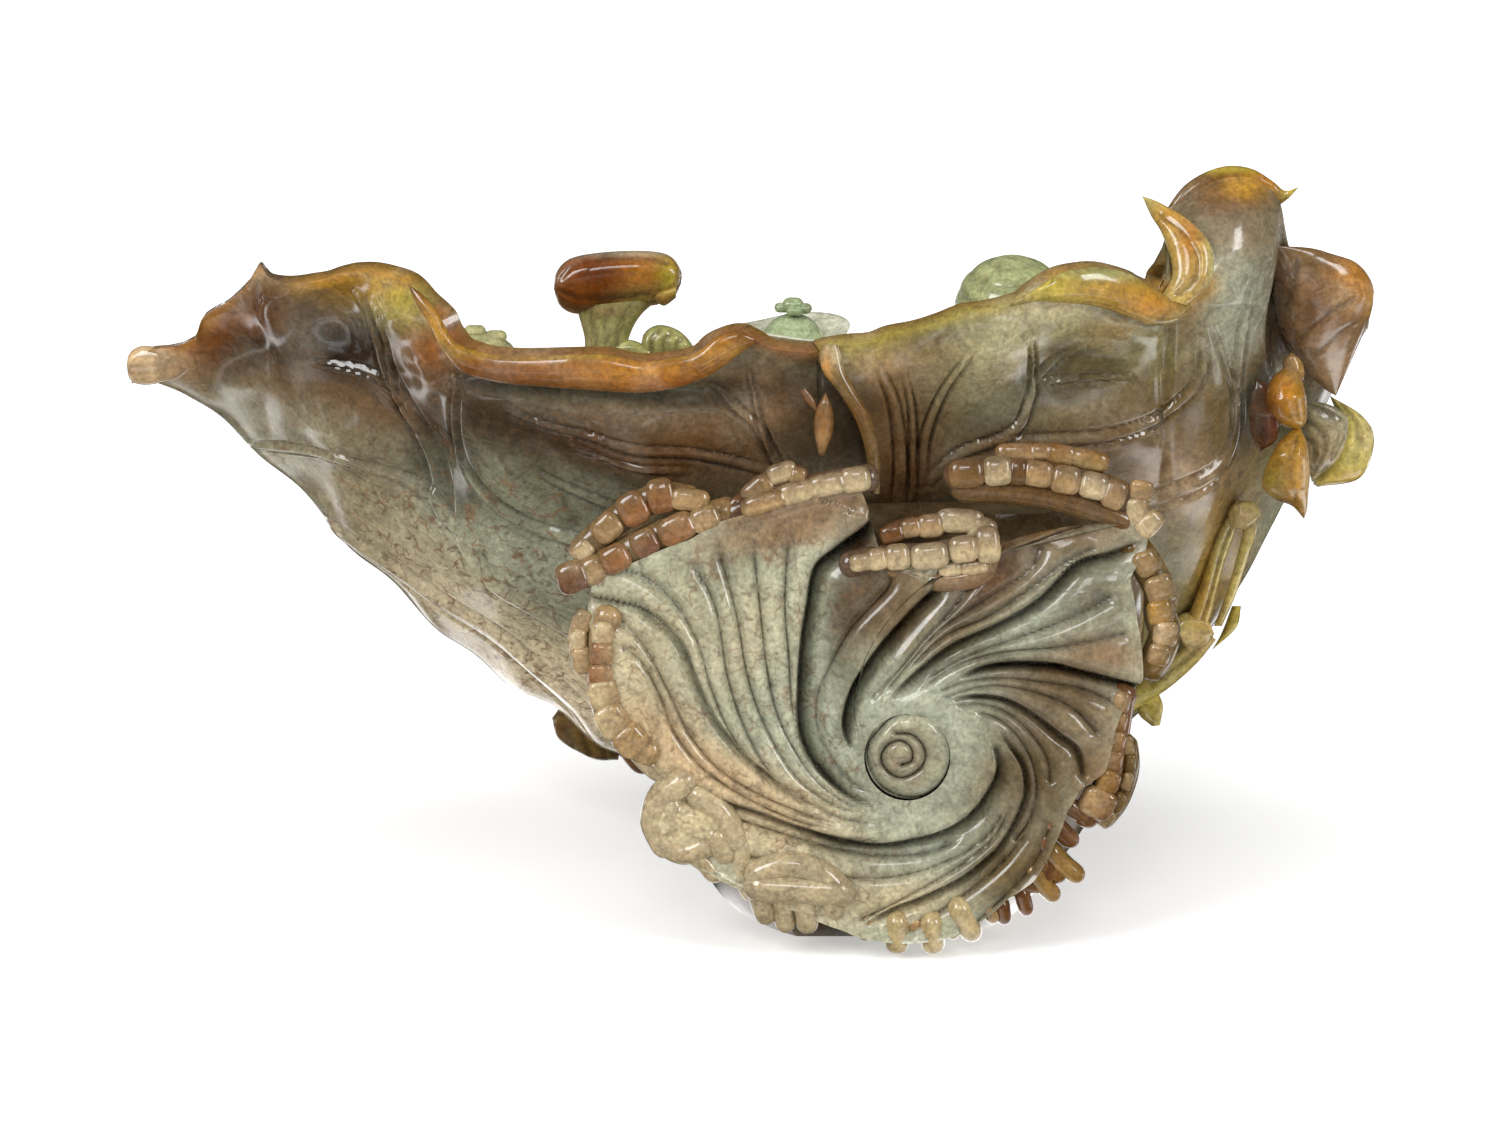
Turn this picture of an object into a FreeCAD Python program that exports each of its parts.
import FreeCAD, Part
import math
import os

from FreeCAD import Placement, Rotation, Vector

# A jade carving of lohans in a lotus-leaf boat on cresting waves, in millimetres.
# +Z is up, the flat foot of the waves lies on z = 0, +X runs along the leaf and -Y is the carved back.
# The leaf, the waves and what shows of the figures are placed by sight lines of one view of the back:
# a sight line is a pair of view pixels, and a place on it is a depth along Y.

doc = FreeCAD.newDocument("jade_lohan_boat")
sheet = doc.addObject("Spreadsheet::Sheet", "Sizes")

# Driving dimensions, each set by itself.
SIZES = {
    "carving_length": 260.0,
    "shown_height": 165.0,
    "carving_depth": 135.0,
    "sight_distance": 1200.0,
    "leaf_wall": 4.0,
    "lip_overrun": 14.0,
    "rib_rise": 1.8,
    "wave_gap": 0.35,
    "foam_gap": 0.3,
    "headgear_wall": 2.2,
    "collar_wall": 1.6,
    "seat_gap": 0.3,
    "foot_clearance": 0.4,
    "foot_easing": 2.0,
    "cut_overrun": 40.0,
}
# Dimensions that follow one of the three overall sizes.
FOLLOWING_SIZES = {
    "sight_level": "=shown_height * 0.3806",
    "leaf_floor_level": "=shown_height * 0.188",
    "base_height": "=shown_height * 0.533",
    "cap_thickness": "=shown_height * 0.0315",
    "head_height": "=shown_height * 0.0606",
    "face_distance": "=carving_depth * 0.5185",
    "facet_distance": "=carving_depth * 0.4222",
    "face_side_fall": "=carving_depth * 0.037",
    "face_top_fall": "=carving_depth * 0.0444",
    "curl_boss_rise": "=carving_depth * 0.0474",
    "foam_rise": "=carving_depth * 0.0267",
    "figure_depth": "=carving_depth * 0.0741",
    "figure_setback": "=carving_depth * 0.0222",
    "rim_radius": "=carving_length * 0.01",
    "fold_radius": "=carving_length * 0.01",
    "lobe_thickness": "=carving_length * 0.0177",
    "curl_radius": "=carving_length * 0.0104",
    "coil_radius": "=carving_length * 0.0515",
    "coil_tube_radius": "=carving_length * 0.0169",
    "curl_boss_radius": "=carving_length * 0.0323",
    "cap_radius": "=carving_length * 0.0477",
    "stem_radius": "=carving_length * 0.0169",
    "small_cap_radius": "=carving_length * 0.0215",
    "small_stem_radius": "=carving_length * 0.0085",
    "figure_shoulder": "=carving_length * 0.05",
    "head_radius": "=carving_length * 0.0308",
    "topknot_radius": "=carving_length * 0.0115",
    "sleeve_radius": "=carving_length * 0.0162",
    "lotus_stem_radius": "=carving_length * 0.01",
    "bud_radius": "=carving_length * 0.0169",
    "bud_depth_radius": "=carving_depth * 0.0326",
    "pod_radius": "=carving_length * 0.0215",
    "pod_depth_radius": "=carving_depth * 0.0415",
    "petal_thickness": "=carving_length * 0.0123",
}
for row, (alias, value) in enumerate({**SIZES, **FOLLOWING_SIZES}.items(), start=1):
    sheet.set(f"A{row}", alias)
    sheet.set(f"B{row}", str(value))
    sheet.setAlias(f"B{row}", alias)
doc.recompute()
size = {alias: float(sheet.get(alias)) for alias in {**SIZES, **FOLLOWING_SIZES}}

# The view: its middle, the pixels that the carving spans, and the pixel above the foot's centre.
VIEW_MIDDLE_PIXELS = (750.0, 562.5)
LENGTH_PIXELS = 1247.0
HEIGHT_PIXELS = 791.0
FOOT_PIXEL = 890.0
SIGHT_SLOPE = math.radians(15)
PIXEL_LONG = size["carving_length"] / LENGTH_PIXELS
PIXEL_HIGH = size["shown_height"] / HEIGHT_PIXELS
MIDDLE_X = (VIEW_MIDDLE_PIXELS[0] - FOOT_PIXEL) * PIXEL_LONG
TOWARDS_EYE = Vector(0, -math.cos(SIGHT_SLOPE), math.sin(SIGHT_SLOPE))
VIEW_UP = Vector(0, math.sin(SIGHT_SLOPE), math.cos(SIGHT_SLOPE))
VIEW_RIGHT = Vector(1, 0, 0)
UP = Vector(0, 0, 1)


def deep(share):
    """A depth from its share of the carving's depth, negative towards the carved back."""
    return share * size["carving_depth"]


def seen(px, py, y):
    """The point at depth y that the view shows at pixel (px, py)."""
    eye = size["sight_distance"]
    across = (px - VIEW_MIDDLE_PIXELS[0]) * PIXEL_LONG
    rise = (VIEW_MIDDLE_PIXELS[1] - py) * PIXEL_HIGH
    cosine = math.cos(SIGHT_SLOPE)
    sine = math.sin(SIGHT_SLOPE)
    up = (rise * (eye + y * cosine) / eye - y * sine) / (cosine + rise * sine / eye)
    away = eye + y * cosine - up * sine
    return Vector(MIDDLE_X + across * away / eye, y, size["sight_level"] + up)


def shown(point):
    """The pixel at which the view shows a point."""
    eye = size["sight_distance"]
    up = point.z - size["sight_level"]
    away = eye + point.y * math.cos(SIGHT_SLOPE) - up * math.sin(SIGHT_SLOPE)
    rise = point.y * math.sin(SIGHT_SLOPE) + up * math.cos(SIGHT_SLOPE)
    px = VIEW_MIDDLE_PIXELS[0] + (point.x - MIDDLE_X) * eye / away / PIXEL_LONG
    py = VIEW_MIDDLE_PIXELS[1] - rise * eye / away / PIXEL_HIGH
    return px, py


# The whirl's centre and reach in the view.
COIL_PIXELS = (907.0, 757.0)
WHIRL_WIDE_PIXELS = 260.0
WHIRL_HIGH_PIXELS = 255.0
FALL_LIMIT_SHARE = 0.8


def face_depth(px, py):
    """The depth of the wave face at a pixel: nearest at the coil, falling away to the sides and the top.

    The fall levels out before the facet that carries the waves.
    """
    aside = (px - COIL_PIXELS[0]) / WHIRL_WIDE_PIXELS
    above = max(0.0, (COIL_PIXELS[1] - py) / WHIRL_HIGH_PIXELS)
    fall = size["face_side_fall"] * aside**2 + size["face_top_fall"] * above**2
    limit = FALL_LIMIT_SHARE * (size["face_distance"] - size["facet_distance"])
    return -size["face_distance"] + limit * math.tanh(fall / limit)


def on_face(px, py, lift=0.0):
    """The point of the wave face at a pixel, raised by lift towards the viewer."""
    return seen(px, py, face_depth(px, py)) + TOWARDS_EYE * lift


def curve(points, periodic=False):
    """A smooth edge through points."""
    spline = Part.BSplineCurve()
    spline.interpolate(Points=points, PeriodicFlag=periodic)
    return spline.toShape()


def loft(wires):
    """One solid through closed wires."""
    solid = Part.makeLoft(wires, True, False)
    if solid.Volume < 0:
        solid.reverse()
    return solid


RING_STEPS = 8


def squared(value, power):
    """A sine or cosine drawn out to fill the corners of its square: power 1 leaves it as it is."""
    return math.copysign(abs(value) ** power, value)


def ring(centre, along, up, wide, tall, power=1.0, steps=RING_STEPS):
    """A closed oval wire square to along: wide across, tall along up, squarer for a power under 1."""
    along = Vector(along).normalize()
    across = along.cross(up).normalize()
    rising = across.cross(along).normalize()
    points = []
    for step in range(steps):
        angle = 2 * math.pi * step / steps
        aside = across * (wide * squared(math.cos(angle), power))
        points.append(centre + aside + rising * (tall * squared(math.sin(angle), power)))
    return Part.Wire([curve(points, periodic=True)])


def tube(path, radii, up=VIEW_UP):
    """A solid of oval rings along path points. A radius is a number or a pair, across and along up."""
    wires = []
    last = len(path) - 1
    for index, point in enumerate(path):
        ahead = path[min(index + 1, last)]
        behind = path[max(index - 1, 0)]
        radius = radii[index]
        wide, tall = radius if isinstance(radius, tuple) else (radius, radius)
        wires.append(ring(point, ahead - behind, up, wide, tall))
    return loft(wires)


def slab(sections):
    """A solid through sections, each a row of front points and a row of back points.

    A section may be bent out of its plane, so the two ends are closed with ruled faces.
    """
    wires = []
    ends = []
    for front, back in sections:
        front_edge = curve(front)
        back_edge = curve(back)
        side = Part.makeLine(front[-1], back[-1])
        end = Part.makeLine(back[0], front[0])
        wires.append(Part.Wire([front_edge, side, back_edge, end]))
        ends.append(Part.makeRuledSurface(front_edge, back_edge))
    shell = Part.makeLoft(wires, False, False)
    return closed([*shell.Faces, ends[0], ends[-1]])


def closed(faces):
    """The solid that faces close."""
    shell = Part.makeShell(faces)
    shell.sewShape()
    solid = Part.makeSolid(shell)
    if solid.Volume < 0:
        shell.reverse()
        solid = Part.makeSolid(shell)
    return solid


def ruled_strip(first, second):
    """Small ruled faces between two rows of points."""
    return [
        Part.makeRuledSurface(Part.makeLine(*pair), Part.makeLine(*other))
        for pair, other in zip(zip(first, first[1:]), zip(second, second[1:]))
    ]


def faceted_slab(sections):
    """A solid through sections like a slab's, of small ruled faces, for forms that turn too often for a curve."""
    rings = [[*front, *reversed(back), front[0]] for front, back in sections]
    faces = []
    for first, second in zip(rings, rings[1:]):
        faces += ruled_strip(first, second)
    return closed(faces + ruled_strip(*sections[0]) + ruled_strip(*sections[-1]))


def panel(rows, thickness, direction=TOWARDS_EYE):
    """A solid sheet through rows of points, half its thickness to each side along direction."""
    half = Vector(direction) * (thickness / 2)
    return slab([([point + half for point in row], [point - half for point in row]) for row in rows])


pieces = []


def keep(name, shape):
    """Adds a finished shape to the document under its own label."""
    piece = doc.addObject("Part::Feature", name)
    piece.Label = name
    piece.Shape = shape
    piece.Placement = Placement()
    pieces.append(piece)
    return piece


def largest_solid(shape):
    """The largest solid of a shape, so that slivers left by a cut are dropped."""
    return max(shape.Solids, key=lambda solid: solid.Volume)


# The lotus leaf: sections across the boat, from the bow at the view's left to the stern.
# Each row: pixel along, near rim's pixel height and depth share, keel's pixel height,
# far rim's share of the shown height and its depth share.
LEAF_STATION_SHARES = [
    (180, 341, -0.09, 392, 0.68, 0.06),
    (215, 312, -0.14, 424, 0.69, 0.10),
    (258, 278, -0.20, 463, 0.70, 0.15),
    (310, 280, -0.26, 522, 0.67, 0.20),
    (368, 274, -0.32, 580, 0.63, 0.25),
    (430, 306, -0.37, 636, 0.59, 0.29),
    (455, 341, -0.385, 658, 0.58, 0.305),
    (500, 355, -0.405, 687, 0.57, 0.325),
    (600, 357, -0.43, 750, 0.55, 0.36),
    (690, 355, -0.44, 788, 0.54, 0.38),
    (740, 340, -0.45, 797, 0.55, 0.39),
    (818, 354, -0.45, 802, 0.55, 0.40),
    (900, 334, -0.45, 800, 0.55, 0.40),
    (1000, 308, -0.45, 790, 0.56, 0.40),
    (1080, 276, -0.43, 770, 0.57, 0.38),
    (1140, 286, -0.39, 735, 0.58, 0.35),
    (1200, 288, -0.33, 680, 0.60, 0.30),
    (1260, 276, -0.25, 590, 0.63, 0.24),
    (1310, 260, -0.17, 500, 0.65, 0.17),
    (1340, 264, -0.11, 430, 0.65, 0.11),
]
SECTION_STEPS = 5
SIDE_POWER = 1.0
RISE_POWER = 1.45


def leaf_curve(station):
    """The near rim, the keel and the far rim of a leaf station. The near wall stops under its rolled rim."""
    px, rim_py, near_share, keel_py, far_height, far_share = station
    near = seen(px, rim_py, deep(near_share)) - UP * (2 * size["rim_radius"] + size["seat_gap"])
    keel = seen(px, keel_py, 0)
    keel.x = near.x
    far = Vector(near.x, deep(far_share), far_height * size["shown_height"])
    return near, keel, far


def section_point(keel, rim, share):
    """A point of the leaf's bowl curve from the keel, at 0, to a rim, at 1."""
    aside = share**SIDE_POWER
    rise = share**RISE_POWER
    return Vector(keel.x, keel.y + (rim.y - keel.y) * aside, keel.z + (rim.z - keel.z) * rise)


def leaf_section(station, inset):
    """A closed section of the leaf, drawn in by inset. An inset one runs past the rims, to cut the hollow."""
    near, keel, far = leaf_curve(station)
    outline = []
    for step in range(-SECTION_STEPS, SECTION_STEPS + 1):
        rim = near if step < 0 else far
        outline.append(section_point(keel, rim, abs(step) / SECTION_STEPS))
    if inset:
        middle = [(b - a).normalize() for a, b in zip(outline[:-2], outline[2:])]
        first = (outline[1] - outline[0]).normalize()
        last = (outline[-1] - outline[-2]).normalize()
        tangents = [first, *middle, last]
        inward = [Vector(0, -tangent.z, tangent.y) for tangent in tangents]
        outline = [point + side * inset for point, side in zip(outline, inward)]
        outline[0] = outline[0] - first * size["lip_overrun"]
        outline[-1] = outline[-1] + last * size["lip_overrun"]
    return Part.Wire([curve(outline), Part.makeLine(outline[-1], outline[0])])


hull = loft([leaf_section(station, 0) for station in LEAF_STATION_SHARES])
HOLLOW_LENGTH_SHARE = 0.93
HOLLOW_MIDDLE_PIXEL = 745


def hollow_section(station):
    """A section of the hollow, drawn towards the middle so that the sloping ends keep their wall."""
    wire = leaf_section(station, size["leaf_wall"])
    reach = (station[0] - HOLLOW_MIDDLE_PIXEL) * PIXEL_LONG
    wire.translate(Vector(-reach * (1 - HOLLOW_LENGTH_SHARE), 0, 0))
    return wire


hollow = loft([hollow_section(station) for station in LEAF_STATION_SHARES[2:-1]])
REACH = size["carving_length"] + size["cut_overrun"]
DECK_CORNER = Vector(-REACH, -REACH, size["leaf_floor_level"] - REACH)
hollow = hollow.cut(Part.makeBox(2 * REACH, 2 * REACH, REACH, DECK_CORNER))
leaf = largest_solid(hull.cut(hollow))
keep("leaf_shell", leaf)


def leaf_station_mixed(px):
    """A leaf station at a pixel column between two of the table's."""
    stations = LEAF_STATION_SHARES
    for first, second in zip(stations[:-1], stations[1:]):
        if px <= second[0] or second is stations[-1]:
            share = (px - first[0]) / (second[0] - first[0])
            return [a + (b - a) * share for a, b in zip(first, second)]


SIGHT_HALVINGS = 24


def on_leaf(px, py, lift=0.0):
    """The point of the leaf's near wall that the view shows at a pixel, raised by lift."""
    near, keel, _ = leaf_curve(leaf_station_mixed(px))
    low, high = 0.0, 1.0
    for _ in range(SIGHT_HALVINGS):
        share = (low + high) / 2
        if shown(section_point(keel, near, share))[1] > py:
            low = share
        else:
            high = share
    return section_point(keel, near, share) + TOWARDS_EYE * lift


# The rolled rims, left and right of the fold, and the far side's, seated on the top of the wall.
BOW_KNOB_PIXELS = [(129, 367), (152, 359)]
BOW_KNOB_DEEP_SHARES = [-0.03, -0.05]
FOLD_PIXEL = 822
CURL_PIXEL = 1141
RIM_END_SHARE = 0.7


def rim_seat(station, near_side):
    """The middle of a rolled rim that lies on the wall's top, at one side of a station."""
    near, _, far = leaf_curve(station)
    across = (far - near).normalize()
    square = Vector(0, -across.z, across.y)
    edge, inward = (near, across) if near_side else (far, -across)
    return edge + inward * (size["leaf_wall"] / 2) + square * (size["rim_radius"] + size["seat_gap"])


def rim_tube(path):
    """A rolled rim along path, its ends drawn in."""
    last = len(path) - 1
    shares = [RIM_END_SHARE if index in (0, last) else 1.0 for index in range(last + 1)]
    return tube(path, [size["rim_radius"] * share for share in shares], UP)


bow = [seen(*pixels, deep(share)) for pixels, share in zip(BOW_KNOB_PIXELS, BOW_KNOB_DEEP_SHARES)]
left_path = [rim_seat(station, True) for station in LEAF_STATION_SHARES if station[0] < FOLD_PIXEL]
keep("leaf_rim_left", rim_tube([*bow, *left_path]))
right_stations = [station for station in LEAF_STATION_SHARES if FOLD_PIXEL < station[0] < CURL_PIXEL]
right_start = rim_seat(leaf_station_mixed(FOLD_PIXEL + 8), True)
keep("leaf_rim_right", rim_tube([right_start, *(rim_seat(station, True) for station in right_stations)]))
keep("leaf_rim_far", rim_tube([rim_seat(station, False) for station in LEAF_STATION_SHARES[:-1]]))

# The folded edge down the middle of the near wall, and the leaf tip hanging beside it.
FOLD_PIXELS = [(826, 388), (838, 400), (850, 418), (860, 438), (868, 460), (873, 486)]
FOLD_LIFT_SHARE = 1.35
fold_lift = size["fold_radius"] * FOLD_LIFT_SHARE
path = [on_leaf(px, py, fold_lift) for px, py in FOLD_PIXELS]
radii = [size["fold_radius"] * share for share in (0.7, 0.9, 1.0, 1.0, 0.9, 0.6)]
keep("leaf_fold", tube(path, radii))
TIP_PIXELS = [(803, 396), (809, 412), (816, 430), (822, 454)]
TIP_WIDTH_SHARES = [0.4, 0.9, 0.8, 0.3]
path = [on_leaf(px, py, fold_lift) for px, py in TIP_PIXELS]
keep("leaf_tip", tube(path, [size["fold_radius"] * share for share in TIP_WIDTH_SHARES]))

# The curled tip and the lobes that stand over the stern. Each lobe is rows of pixels with a depth share.
CURL_PIXELS = [(1146, 203), (1168, 213), (1190, 229), (1203, 250), (1203, 272), (1188, 290), (1166, 297)]
CURL_DEPTH_SHARES = [-0.275, -0.30, -0.318, -0.33, -0.335, -0.345, -0.365]
CURL_WIDTH_SHARES = [0.45, 0.9, 1.1, 1.1, 1.1, 1.0, 0.7]
path = [seen(px, py, deep(share)) for (px, py), share in zip(CURL_PIXELS, CURL_DEPTH_SHARES)]
radii = [(size["curl_radius"] * share, size["curl_radius"] * share) for share in CURL_WIDTH_SHARES]
keep("leaf_curl", tube(path, radii))
LOBE_SHARES = {
    "leaf_tall_lobe": [
        (-0.31, ((1172, 322), (1232, 322), (1290, 304))),
        (-0.29, ((1205, 262), (1248, 252), (1290, 244))),
        (-0.26, ((1192, 222), (1240, 215), (1282, 216))),
        (-0.23, ((1180, 196), (1235, 182), (1288, 200))),
        (-0.21, ((1196, 178), (1240, 168), (1298, 188))),
    ],
    "leaf_right_lobe": [
        (-0.19, ((1296, 258), (1310, 320), (1306, 380))),
        (-0.15, ((1320, 256), (1335, 320), (1330, 392))),
        (-0.11, ((1345, 262), (1356, 315), (1346, 368))),
        (-0.06, ((1366, 278), (1373, 300), (1366, 328))),
    ],
}
for name, lobe_rows in LOBE_SHARES.items():
    rows = [[seen(px, py, deep(share)) for px, py in pixels] for share, pixels in lobe_rows]
    keep(name, largest_solid(panel(rows, size["lobe_thickness"]).cut(hull)))

# The hidden side's waves are those of the back turned about the mound, and lower under its low rim.
FRONT_TURN_SHARE = -0.17
FRONT_HEIGHT_SHARE = 0.52

# The wave mound under the leaf, an oval drawn up from the flat foot, hollowed where the leaf lies in it.
# Each row: share of its height, middle and half width as shares of the length, near and far depth shares,
# and how square it is.
BASE_SHARES = [
    (0.0, -0.012, 0.132, -0.47, 0.29, 1.0),
    (0.1, -0.010, 0.150, -0.47, 0.29, 0.8),
    (0.3, -0.006, 0.180, -0.47, 0.30, 0.6),
    (0.55, -0.012, 0.205, -0.47, 0.30, 0.5),
    (0.8, -0.020, 0.220, -0.46, 0.30, 0.5),
    (1.0, -0.030, 0.205, -0.45, 0.30, 0.6),
]
BASE_RING_STEPS = 24
base_rings = []
for height, middle, half, near_share, far_share, power in BASE_SHARES:
    centre_y = deep((near_share + far_share) / 2)
    centre = Vector(middle * size["carving_length"], centre_y, height * size["base_height"])
    half_depth = deep((far_share - near_share) / 2)
    half_length = half * size["carving_length"]
    base_rings.append(ring(centre, UP, Vector(0, 1, 0), half_length, half_depth, power, BASE_RING_STEPS))
FRONT_CORNER = Vector(-REACH, -size["facet_distance"] - REACH, -REACH)
facet_cut = Part.makeBox(2 * REACH, REACH, 2 * REACH, FRONT_CORNER)
BACK_CORNER = Vector(-REACH, deep(FRONT_TURN_SHARE) + size["facet_distance"], -REACH)
hidden_facet_cut = Part.makeBox(2 * REACH, REACH, 2 * REACH, BACK_CORNER)
base = largest_solid(loft(base_rings).cut([hull, facet_cut, hidden_facet_cut]))
keep("wave_base", base)

# The ribbed wave sheets that turn into the coil. Each: ribs, and rows from the crest in,
# a row being the pixels of its left edge, middle and right edge.
WAVE_PIXELS = {
    "wave_upper_left": (5, [
        ((603, 590), (738, 522), (868, 500)),
        ((650, 612), (748, 560), (842, 545)),
        ((684, 640), (752, 600), (812, 585)),
        ((704, 680), (757, 650), (802, 640)),
        ((722, 722), (765, 705), (796, 700)),
        ((745, 757), (775, 750), (800, 748)),
        ((780, 782), (796, 778), (812, 772)),
    ]),
    "wave_upper_middle": (3, [
        ((848, 548), (912, 574), (985, 568)),
        ((828, 576), (880, 594), (938, 598)),
        ((812, 612), (852, 624), (902, 632)),
        ((804, 655), (830, 662), (868, 672)),
        ((800, 695), (815, 700), (836, 702)),
    ]),
    "wave_upper_right": (2, [
        ((990, 512), (1068, 508), (1142, 545)),
        ((988, 568), (1040, 556), (1082, 566)),
        ((950, 594), (1000, 590), (1040, 598)),
        ((914, 624), (950, 620), (985, 627)),
        ((874, 664), (890, 658), (914, 658)),
    ]),
    "wave_right": (3, [
        ((1090, 568), (1122, 612), (1136, 680)),
        ((1052, 597), (1078, 632), (1083, 671)),
        ((1018, 617), (1035, 640), (1030, 661)),
        ((968, 638), (982, 652), (985, 668)),
        ((937, 652), (943, 664), (950, 676)),
    ]),
    "wave_lower_right": (3, [
        ((1120, 692), (1106, 735), (1092, 776)),
        ((1084, 680), (1084, 725), (1070, 768)),
        ((1030, 669), (1038, 712), (1034, 756)),
        ((986, 676), (1000, 708), (1006, 744)),
    ]),
    "wave_outer_right": (2, [
        ((1010, 752), (1040, 768), (1066, 776)),
        ((1008, 795), (1030, 805), (1054, 806)),
        ((1012, 828), (1026, 834), (1040, 838)),
        ((1006, 852), (1012, 858), (1022, 864)),
        ((975, 875), (984, 880), (994, 884)),
    ]),
    "wave_bottom": (3, [
        ((998, 790), (1002, 815), (1004, 842)),
        ((972, 824), (978, 842), (986, 862)),
        ((930, 846), (944, 862), (956, 878)),
        ((893, 852), (908, 875), (920, 896)),
        ((858, 850), (872, 880), (886, 906)),
        ((832, 846), (842, 882), (852, 920)),
    ]),
    "wave_lower_left": (3, [
        ((678, 786), (664, 820), (684, 852)),
        ((722, 808), (712, 842), (728, 876)),
        ((765, 824), (758, 862), (768, 900)),
        ((800, 836), (796, 874), (806, 912)),
        ((826, 842), (828, 880), (838, 914)),
    ]),
    "wave_left": (2, [
        ((610, 606), (628, 680), (655, 752)),
        ((660, 632), (660, 700), (680, 770)),
        ((690, 674), (696, 735), (712, 792)),
        ((712, 720), (728, 768), (745, 804)),
        ((738, 762), (760, 792), (778, 816)),
        ((780, 788), (800, 810), (816, 828)),
    ]),
}
RIB_POINTS = 4


def row_pixel(row, share):
    """The pixel at a share of the way across a row of three pixels."""
    left, middle, right = row
    weights = ((1 - share) * (1 - 2 * share), 4 * share * (1 - share), share * (2 * share - 1))
    px = sum(weight * pixel[0] for weight, pixel in zip(weights, (left, middle, right)))
    py = sum(weight * pixel[1] for weight, pixel in zip(weights, (left, middle, right)))
    return px, py


def off_ground(point):
    """The point, eased up where it would reach the ground that only the mound's foot stands on."""
    above = point.z - size["foot_clearance"]
    eased = (above + math.hypot(above, size["foot_easing"])) / 2
    return Vector(point.x, point.y, size["foot_clearance"] + eased)


def back_side(point):
    """A point of the carved back, as it is."""
    return off_ground(point)


def front_side(point):
    """A point of the carved back turned round to the hidden side."""
    return Vector(-point.x, deep(FRONT_TURN_SHARE) - point.y, point.z * FRONT_HEIGHT_SHARE)


def wave_section(row, ribs, side):
    """A section of a wave sheet: ribs across its face, and a plain back on the mound's facet."""
    left = on_face(*row_pixel(row, 0.0))
    right = on_face(*row_pixel(row, 1.0))
    margin = size["wave_gap"] / (right - left).Length
    face = []
    steps = RIB_POINTS * ribs
    for step in range(steps + 1):
        share = margin + (1 - 2 * margin) * step / steps
        lift = size["rib_rise"] * math.sin(math.pi * step / RIB_POINTS) ** 2
        face.append(side(on_face(*row_pixel(row, share), lift)))
    back = []
    for share in (margin, 0.5, 1 - margin):
        back.append(side(seen(*row_pixel(row, share), -size["facet_distance"])))
    return face, back


waves = {}
for name, (ribs, rows) in WAVE_PIXELS.items():
    waves[name] = slab([wave_section(row, ribs, back_side) for row in rows])
    keep(name, waves[name])

# Foam crests at the outer edges of the waves. Each: fingers, the wave that carries it, the wave's edge, the
# shares of that edge where it starts and ends, and the pixels of its outer edge.
FOAM_PIXEL_SHARES = {
    "foam_upper_left": (8, "wave_upper_left", "crest", 0.0, 0.48, ((564, 574), (626, 490), (728, 486))),
    "foam_upper": (5, "wave_upper_left", "crest", 0.5, 1.0, ((734, 486), (798, 460), (868, 466))),
    "foam_upper_middle": (5, "wave_upper_middle", "crest", 0.0, 1.0, ((860, 512), (925, 500), (994, 532))),
    "foam_upper_right": (8, "wave_upper_right", "crest", 0.0, 1.0, ((956, 466), (1056, 434), (1164, 520))),
    "foam_right": (5, "wave_right", "crest", 0.0, 1.0, ((1138, 548), (1178, 610), (1168, 700))),
    "foam_lower_right": (5, "wave_lower_right", "crest", 0.0, 1.0, ((1140, 708), (1138, 765), (1108, 828))),
    "foam_outer_right": (6, "wave_outer_right", "side", 0.05, 0.9, ((1094, 836), (1082, 888), (1006, 922))),
    "foam_bottom": (5, "wave_bottom", "side", 0.3, 1.0, ((980, 940), (926, 962), (848, 934))),
    "foam_lower_left": (5, "wave_lower_left", "side", 0.0, 1.0, ((690, 880), (748, 926), (838, 938))),
    "foam_left": (6, "wave_left", "crest", 0.0, 1.0, ((572, 606), (592, 690), (638, 766))),
}


def edge_pixel(rows, edge, share):
    """The pixel at a share of a wave's crest, or of the side that its rows end on."""
    if edge == "crest":
        return row_pixel(rows[0], share)
    place = share * (len(rows) - 1)
    index = min(int(place), len(rows) - 2)
    (first_px, first_py), (next_px, next_py) = rows[index][2], rows[index + 1][2]
    part = place - index
    return first_px + (next_px - first_px) * part, first_py + (next_py - first_py) * part


def outward(pixel):
    """The pixel moved away from the coil by the gap between a wave and its foam."""
    px, py = pixel
    away_px = px - COIL_PIXELS[0]
    away_py = py - COIL_PIXELS[1]
    step = size["foam_gap"] / PIXEL_LONG / math.hypot(away_px, away_py)
    return px + away_px * step, py + away_py * step


FOAM_POINTS = 6
FOAM_WEB_SHARE = 0.5
# Each row of a crest: share of the way out, and share of the foam's rise.
FOAM_ROW_SHARES = [(0.0, 0.5), (0.3, 1.0), (0.65, 1.0), (0.9, 0.55), (1.0, 0.0)]


def foam_section(crest, out_share, rise_share, side):
    """A section of a foam crest, lobed by its fingers, with a plain back on the mound's facet."""
    fingers, wave, edge, start, end, outer = crest
    rows = WAVE_PIXELS[wave][1]
    face = []
    steps = FOAM_POINTS * fingers
    for step in range(steps + 1):
        share = step / steps
        lobe = math.sin(math.pi * step / FOAM_POINTS) ** 2
        out = out_share * (FOAM_WEB_SHARE + (1 - FOAM_WEB_SHARE) * lobe)
        inner_px, inner_py = outward(edge_pixel(rows, edge, start + (end - start) * share))
        outer_px, outer_py = row_pixel(outer, share)
        px = inner_px + (outer_px - inner_px) * out
        py = inner_py + (outer_py - inner_py) * out
        face.append((px, py, size["foam_rise"] * rise_share * lobe))
    front = [side(on_face(*point)) for point in face]
    back = [side(seen(px, py, -size["facet_distance"])) for px, py, _ in face]
    return front, back


def foam_crest(crest, side):
    """A foam crest as one solid of joined fingers."""
    return faceted_slab([foam_section(crest, *shares, side) for shares in FOAM_ROW_SHARES])


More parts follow.
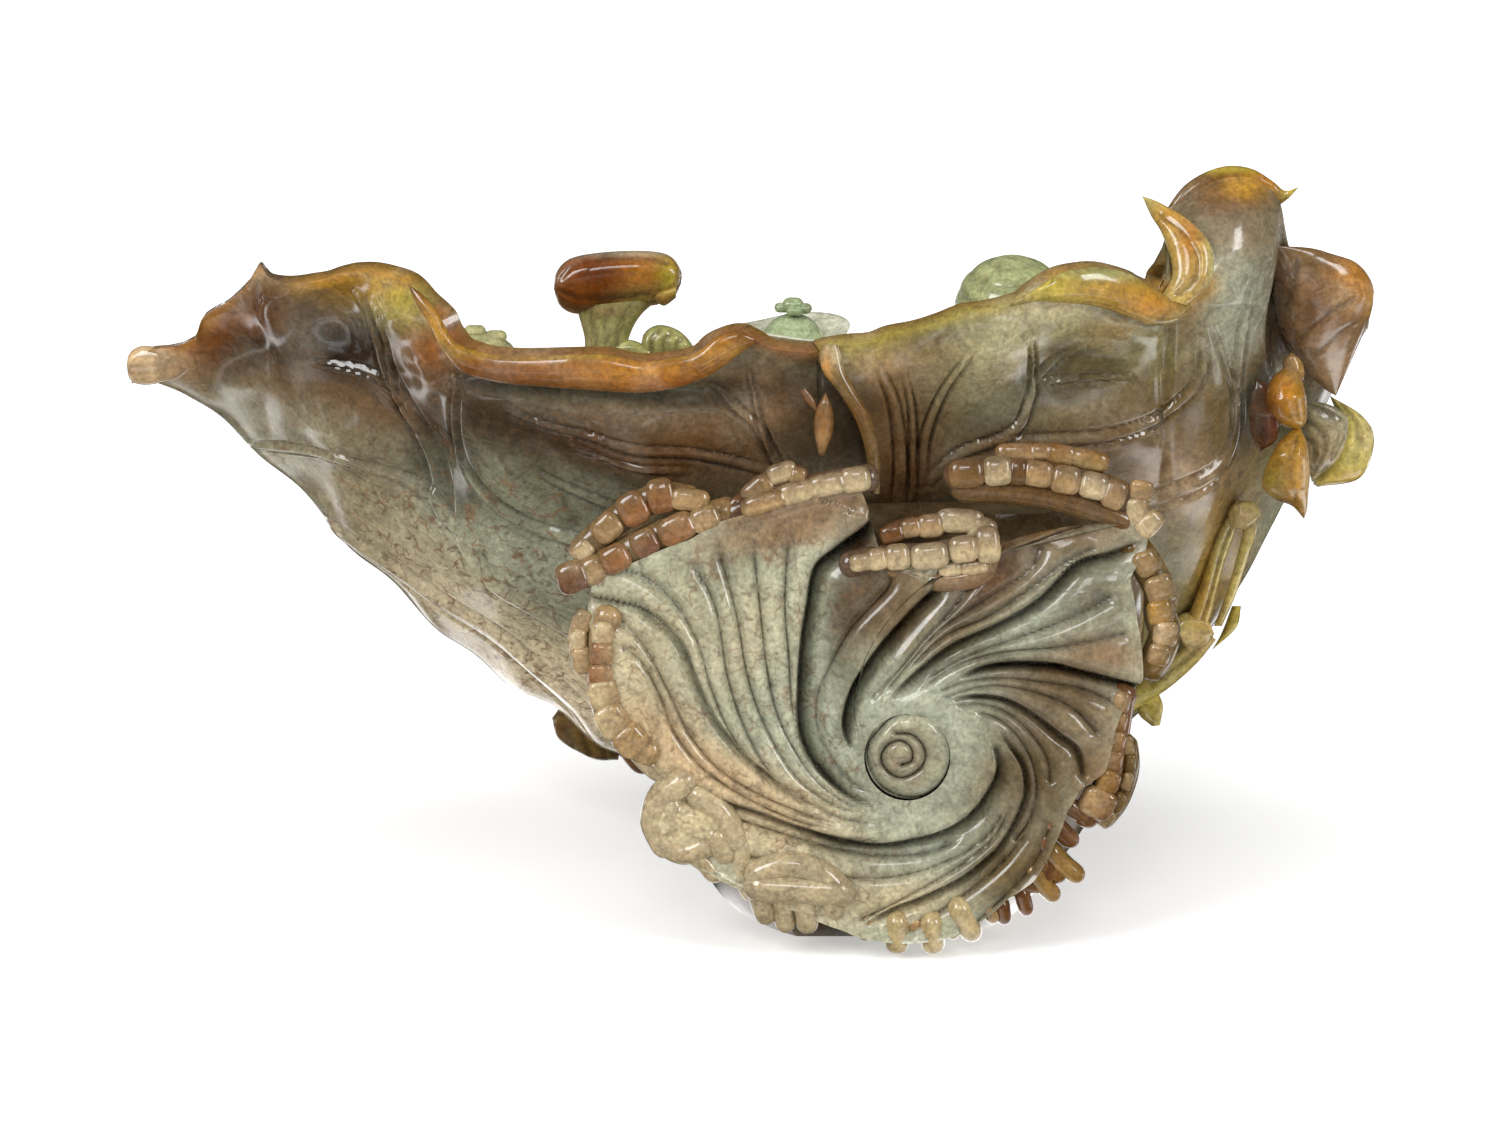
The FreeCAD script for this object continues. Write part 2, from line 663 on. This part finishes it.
for name, crest in FOAM_PIXEL_SHARES.items():
    keep(name, foam_crest(crest, back_side))

# The hidden side's waves and foam.
for source, target in (
    ("wave_upper_left", "front_wave_left"),
    ("wave_upper_middle", "front_wave_middle"),
    ("wave_upper_right", "front_wave_right"),
):
    ribs, rows = WAVE_PIXELS[source]
    keep(target, slab([wave_section(row, ribs, front_side) for row in rows]))
for source, target in (("foam_upper_middle", "front_foam_middle"), ("foam_upper_right", "front_foam_right")):
    keep(target, foam_crest(FOAM_PIXEL_SHARES[source], front_side))

# The lobe of the far side that hangs below the leaf's keel.
FAR_LOBE_SHARES = [
    (0.01, ((556, 706), (606, 712), (652, 734))),
    (0.03, ((557, 735), (605, 745), (650, 765))),
    (0.05, ((568, 748), (606, 762), (650, 774))),
]
rows = [[seen(px, py, deep(share)) for px, py in pixels] for share, pixels in FAR_LOBE_SHARES]
keep("wave_far_lobe", largest_solid(panel(rows, size["lobe_thickness"]).cut(hull)))


def primitive(kind, name, placement, **sizes):
    """A primitive of the document whose sizes follow the sheet."""
    shape = doc.addObject(kind, name)
    for prop, expression in sizes.items():
        shape.setExpression(prop, expression)
    shape.Placement = placement
    return shape


def joined(kind, name, members):
    """A boolean of the document's own objects, kept as one piece. The first member is the one cut."""
    solid = doc.addObject(kind, name)
    if kind == "Part::Cut":
        solid.Base, solid.Tool = members
    else:
        solid.Shapes = members
    solid.Label = name
    return solid


def keep_bound(piece):
    """Adds an object bound to the sheet to the pieces that are written."""
    pieces.append(piece)
    return piece


# The coil at the middle of the whirl: a core on the facet, a coil round it and a curl within it.
centre = seen(*COIL_PIXELS, -size["face_distance"])
BACKWARD = Rotation(UP, Vector(0, -1, 0))
on_facet = Vector(centre.x, -size["facet_distance"], centre.z)
disc = primitive(
    "Part::Cylinder", "whirl_disc", Placement(on_facet, BACKWARD),
    Radius="Sizes.coil_radius",
    Height="Sizes.face_distance - Sizes.facet_distance - Sizes.coil_tube_radius",
)
boss = primitive(
    "Part::Ellipsoid", "whirl_boss",
    Placement(Vector(centre.x, -size["face_distance"] + size["coil_tube_radius"], centre.z), BACKWARD),
    Radius1="Sizes.curl_boss_rise", Radius2="Sizes.curl_boss_radius", Radius3="Sizes.curl_boss_radius",
    Angle1="0",
)
keep_bound(joined("Part::MultiFuse", "whirl_core", [disc, boss]))
COIL_RINGS = 15
COIL_START = math.radians(225)
COIL_TURN = math.radians(-325)
COIL_SPREAD_SHARE = 0.12
COIL_END_SHARE = 0.45
COIL_TAPER_RATE = 2.5
coil_path = []
coil_radii = []
for step in range(COIL_RINGS):
    share = step / (COIL_RINGS - 1)
    angle = COIL_START + COIL_TURN * share
    radius = size["coil_radius"] * (1 + COIL_SPREAD_SHARE * (0.5 - share))
    offset = Vector(radius * math.cos(angle), -size["seat_gap"], radius * math.sin(angle))
    coil_path.append(centre + offset)
    taper = min(1.0, COIL_END_SHARE + COIL_TAPER_RATE * min(share, 1 - share))
    coil_radii.append(size["coil_tube_radius"] * taper)
keep("whirl_coil", tube(coil_path, coil_radii, Vector(0, -1, 0)))

# The three lohans sit in the hollow and face the hidden side. Each: head middle and crown pixels, share of
# the full bulk, and how far above the leaf's floor it sits, as a share of the shown height.
FIGURES = {
    "lohan_right": ((1012, 266), 1.05, 0.0),
    "lohan_center": ((793, 314), 0.95, 0.0),
    "lohan_left": ((475, 344), 0.8, 0.045),
}
# Each ring: share of the way up to the neck, half width and half depth shares, and share forward.
ROBE_SHARES = [
    (0.0, 1.30, 1.30, 0.20),
    (0.16, 1.25, 1.25, 0.20),
    (0.36, 0.95, 1.0, 0.05),
    (0.62, 1.0, 1.0, 0.0),
    (0.84, 0.92, 0.85, -0.02),
    (0.94, 0.6, 0.6, 0.0),
    (1.0, 0.4, 0.45, 0.0),
]
# Each point of a sleeve: shares of shoulder width, figure depth and neck height, and of the sleeve's radius.
SLEEVE_SHARES = [
    (0.85, 0.0, 0.84, 0.7),
    (1.3, 0.2, 0.62, 1.0),
    (1.2, 0.9, 0.44, 1.0),
    (0.65, 1.55, 0.38, 0.9),
    (0.38, 1.6, 0.38, 0.7),
]
HEAD_DEEP_SHARE = 1.08
NECK_IN_HEAD_SHARE = 0.35
SLEEVE_UP = Vector(0, 1, 0.2)


def figure(name, crown_pixels, bulk, seat_share):
    """The robe, sleeves and head of one figure. Gives its head's middle."""
    shoulder = bulk * size["figure_shoulder"]
    depth = bulk * size["figure_depth"]
    crown = seen(*crown_pixels, -size["figure_setback"])
    head_middle = crown - UP * (bulk * size["head_height"])
    head = primitive(
        "Part::Ellipsoid", f"{name}_head", Placement(head_middle, Rotation()),
        Radius1=f"Sizes.head_height * {bulk}",
        Radius2=f"Sizes.head_radius * {bulk}",
        Radius3=f"Sizes.head_radius * {bulk * HEAD_DEEP_SHARE}",
    )
    doc.recompute()
    seat = Vector(crown.x, crown.y, size["leaf_floor_level"] + seat_share * size["shown_height"])
    neck = head_middle.z - bulk * size["head_height"] * (1 - NECK_IN_HEAD_SHARE)
    rise = neck - seat.z
    rings = []
    for up, wide, deep_share, forward in ROBE_SHARES:
        middle = seat + Vector(0, forward * depth, up * rise)
        rings.append(ring(middle, UP, Vector(0, 1, 0), wide * shoulder, deep_share * depth))
    robe = largest_solid(loft(rings).cut([head.Shape, leaf]))
    keep(f"{name}_robe", robe)
    sleeves = []
    neighbours = [robe, leaf] if seat_share else [robe]
    for side in (-1, 1):
        path = []
        for aside, forward, up, _ in SLEEVE_SHARES:
            path.append(seat + Vector(side * aside * shoulder, forward * depth, up * rise))
        radii = [share * bulk * size["sleeve_radius"] for *_, share in SLEEVE_SHARES]
        sleeves.append(largest_solid(tube(path, radii, SLEEVE_UP).cut(neighbours)))
    keep(f"{name}_sleeves", Part.makeCompound(sleeves))
    keep_bound(head)
    return head_middle


heads = {name: figure(name, *values) for name, values in FIGURES.items()}

# The right figure's hood: a shell round the head, open at the face and at the neck.
FACE_HALF_WIDTH_SHARE = 0.75
FACE_START_SHARE = 0.3
NECK_START_SHARE = 0.55
FACE_TOP_SHARE = 0.6
bulk = FIGURES["lohan_right"][1]
middle = heads["lohan_right"]
hood_out = primitive(
    "Part::Ellipsoid", "hood_out", Placement(middle, Rotation()),
    Radius1=f"Sizes.head_height * {bulk} + Sizes.headgear_wall",
    Radius2=f"Sizes.head_radius * {bulk} + Sizes.headgear_wall",
    Radius3=f"Sizes.head_radius * {bulk * HEAD_DEEP_SHARE} + Sizes.headgear_wall",
)
hood_in = primitive(
    "Part::Ellipsoid", "hood_in", Placement(middle, Rotation()),
    Radius1=f"Sizes.head_height * {bulk} + Sizes.seat_gap",
    Radius2=f"Sizes.head_radius * {bulk} + Sizes.seat_gap",
    Radius3=f"Sizes.head_radius * {bulk * HEAD_DEEP_SHARE} + Sizes.seat_gap",
)
face_side = primitive(
    "Part::Box", "hood_opening",
    Placement(
        middle + Vector(-bulk * size["head_radius"] * FACE_HALF_WIDTH_SHARE,
                        bulk * size["head_radius"] * FACE_START_SHARE,
                        -2 * bulk * size["head_height"]),
        Rotation(),
    ),
    Length=f"Sizes.head_radius * {bulk * 2 * FACE_HALF_WIDTH_SHARE}",
    Width="Sizes.cut_overrun",
    Height=f"Sizes.head_height * {bulk * (2 + FACE_TOP_SHARE)}",
)
neck_side = primitive(
    "Part::Box", "hood_neck",
    Placement(
        middle + Vector(-size["cut_overrun"] / 2, -size["cut_overrun"] / 2,
                        -size["cut_overrun"] - NECK_START_SHARE * bulk * size["head_height"]),
        Rotation(),
    ),
    Length="Sizes.cut_overrun", Width="Sizes.cut_overrun", Height="Sizes.cut_overrun",
)
hood = joined("Part::Cut", "hood_shell", [hood_out, hood_in])
hood = joined("Part::Cut", "hood_faced", [hood, face_side])
keep_bound(joined("Part::Cut", "lohan_right_hood", [hood, neck_side]))

# The centre figure's rolled collar round the crown, and its topknot.
bulk = FIGURES["lohan_center"][1]
middle = heads["lohan_center"]
COLLAR_RISE_SHARE = 0.62
keep_bound(primitive(
    "Part::Torus", "lohan_center_collar",
    Placement(middle + UP * (COLLAR_RISE_SHARE * bulk * size["head_height"]), Rotation()),
    Radius1=f"Sizes.head_radius * {bulk} * {math.sqrt(1 - COLLAR_RISE_SHARE**2)}"
            " + Sizes.collar_wall + Sizes.seat_gap + Sizes.collar_wall / 2",
    Radius2="Sizes.collar_wall",
))
keep_bound(primitive(
    "Part::Ellipsoid", "lohan_center_topknot",
    Placement(middle + UP * (bulk * size["head_height"] + size["seat_gap"]), Rotation()),
    Radius1="Sizes.topknot_radius", Radius2="Sizes.topknot_radius", Radius3="Sizes.topknot_radius",
    Angle1="0",
))

# The left figure's flat cap: a low cone, hollowed to the crown.
CAP_SEAT_SHARE = 0.45
CAP_RISE_SHARE = 0.6
bulk = FIGURES["lohan_left"][1]
middle = heads["lohan_left"]
cap_body = primitive(
    "Part::Cone", "cap_body",
    Placement(middle + UP * (CAP_SEAT_SHARE * bulk * size["head_height"]), Rotation()),
    Radius1=f"Sizes.head_radius * {bulk} + Sizes.headgear_wall",
    Radius2=f"Sizes.head_radius * {bulk}",
    Height=f"Sizes.head_height * {bulk * CAP_RISE_SHARE} + Sizes.headgear_wall",
)
cap_hollow = primitive(
    "Part::Ellipsoid", "cap_hollow", Placement(middle, Rotation()),
    Radius1=f"Sizes.head_height * {bulk} + Sizes.seat_gap",
    Radius2=f"Sizes.head_radius * {bulk} + Sizes.seat_gap",
    Radius3=f"Sizes.head_radius * {bulk * HEAD_DEEP_SHARE} + Sizes.seat_gap",
)
keep_bound(joined("Part::Cut", "lohan_left_cap", [cap_body, cap_hollow]))

# The lingzhi: a large one and a small one, each a stem from the leaf's floor and a lobed cap.
LINGZHI_SHARE = -0.06
LARGE_CAP_PIXELS = [((588, 288), 0.62), ((622, 272), 0.72), ((654, 290), 0.58)]
SMALL_CAP_PIXELS = [((671, 341), 0.95)]
LARGE_STEM_PIXELS = [(612, 305), (606, 340), (600, 380), (604, 440), (612, 520), (618, 600), (620, 690)]
SMALL_STEM_PIXELS = [(672, 352), (668, 390), (662, 450), (660, 530), (664, 610), (668, 690), (668, 745)]


def lingzhi(name, cap_pixels, cap_alias, stem_pixels, stem_radius):
    """A lingzhi: overlapping rounded lobes make its cap, and a stem runs down into the hollow."""
    lobes = []
    for index, (pixels, share) in enumerate(cap_pixels):
        lobes.append(primitive(
            "Part::Ellipsoid", f"{name}_lobe_{index}", Placement(seen(*pixels, deep(LINGZHI_SHARE)), Rotation()),
            Radius1=f"Sizes.cap_thickness * {share}",
            Radius2=f"Sizes.{cap_alias} * {share}",
            Radius3=f"Sizes.{cap_alias} * {share}",
        ))
    cap = joined("Part::MultiFuse", f"{name}_cap", lobes) if len(lobes) > 1 else lobes[0]
    cap.Label = f"{name}_cap"
    doc.recompute()
    path = [seen(*pixels, deep(LINGZHI_SHARE)) for pixels in stem_pixels]
    stem = tube(path, [stem_radius] * len(path), Vector(0, 1, 0))
    keep(f"{name}_stem", largest_solid(stem.cut([leaf, cap.Shape])))
    keep_bound(cap)


lingzhi("lingzhi_large", LARGE_CAP_PIXELS, "cap_radius", LARGE_STEM_PIXELS, size["stem_radius"])
lingzhi("lingzhi_small", SMALL_CAP_PIXELS, "small_cap_radius", SMALL_STEM_PIXELS, size["small_stem_radius"])

# The lotus flower, bud and pod outside the stern, and the stems that rise to them.
PETAL_TILTS = (-24, 3, 27)
PETAL_REACH_SHARES = (4.4, 5.2, 4.1)
PETAL_WIDTH_SHARE = 1.3
BUD_TALL_SHARE = 1.8
POD_TALL_SHARE = 1.6
FLOWER_PIXELS = (1276, 432)
BUD_PIXELS = (1323, 442)
POD_PIXELS = (1348, 440)
petals = []
FLOWER_LIFT_SHARE = 2.95
flower_middle = on_leaf(*FLOWER_PIXELS, size["petal_thickness"] * FLOWER_LIFT_SHARE)
for index, (tilt, reach_share) in enumerate(zip(PETAL_TILTS, PETAL_REACH_SHARES)):
    turn = Rotation(TOWARDS_EYE, tilt)
    petals.append(primitive(
        "Part::Ellipsoid", f"petal_{index}", Placement(flower_middle, turn),
        Radius1=f"Sizes.petal_thickness * {reach_share}",
        Radius2=f"Sizes.petal_thickness * {PETAL_WIDTH_SHARE}",
        Radius3="Sizes.petal_thickness",
    ))
keep_bound(joined("Part::MultiFuse", "lotus_flower", petals))
BUD_DEEP_SHARE = -0.12
keep_bound(primitive(
    "Part::Ellipsoid", "lotus_bud", Placement(seen(*BUD_PIXELS, deep(BUD_DEEP_SHARE)), Rotation()),
    Radius1=f"Sizes.bud_radius * {BUD_TALL_SHARE}", Radius2="Sizes.bud_radius", Radius3="Sizes.bud_depth_radius",
))
POD_DEEP_SHARE = -0.06
keep_bound(primitive(
    "Part::Ellipsoid", "lotus_pod", Placement(seen(*POD_PIXELS, deep(POD_DEEP_SHARE)), Rotation()),
    Radius1=f"Sizes.pod_radius * {POD_TALL_SHARE}", Radius2="Sizes.pod_radius", Radius3="Sizes.pod_depth_radius",
))
STEM_PIXELS = {
    "lotus_stem_upper": [(1192, 640), (1208, 610), (1224, 578), (1242, 545), (1262, 512)],
    "lotus_stem_lower": [(1134, 712), (1152, 697), (1172, 676), (1190, 655)],
}
STEM_LIFT_SHARE = 1.1
STEM_END_SHARE = 0.8
stem_lift = size["lotus_stem_radius"] * STEM_LIFT_SHARE
for name, pixels in STEM_PIXELS.items():
    path = [on_leaf(px, py, stem_lift) for px, py in pixels]
    shares = [STEM_END_SHARE, *[1.0] * (len(path) - 2), STEM_END_SHARE]
    radii = [size["lotus_stem_radius"] * share for share in shares]
    keep(name, largest_solid(tube(path, radii).cut([hull, base])))

doc.recompute()
for piece in doc.Objects:
    if "Invalid" in piece.State or "Error" in piece.State:
        raise RuntimeError(f"{piece.Label} could not be made")
os.makedirs("parts", exist_ok=True)
for piece in pieces:
    shape = piece.Shape
    if shape.isNull() or not shape.isValid():
        raise RuntimeError(f"{piece.Label} is not a valid shape")
    shape.exportStep(f"parts/{piece.Label}.step")
    box = shape.BoundBox
    spans = (box.XMin, box.XMax, box.YMin, box.YMax, box.ZMin, box.ZMax)
    print(piece.Label, len(shape.Solids), round(shape.Volume), [round(value) for value in spans])
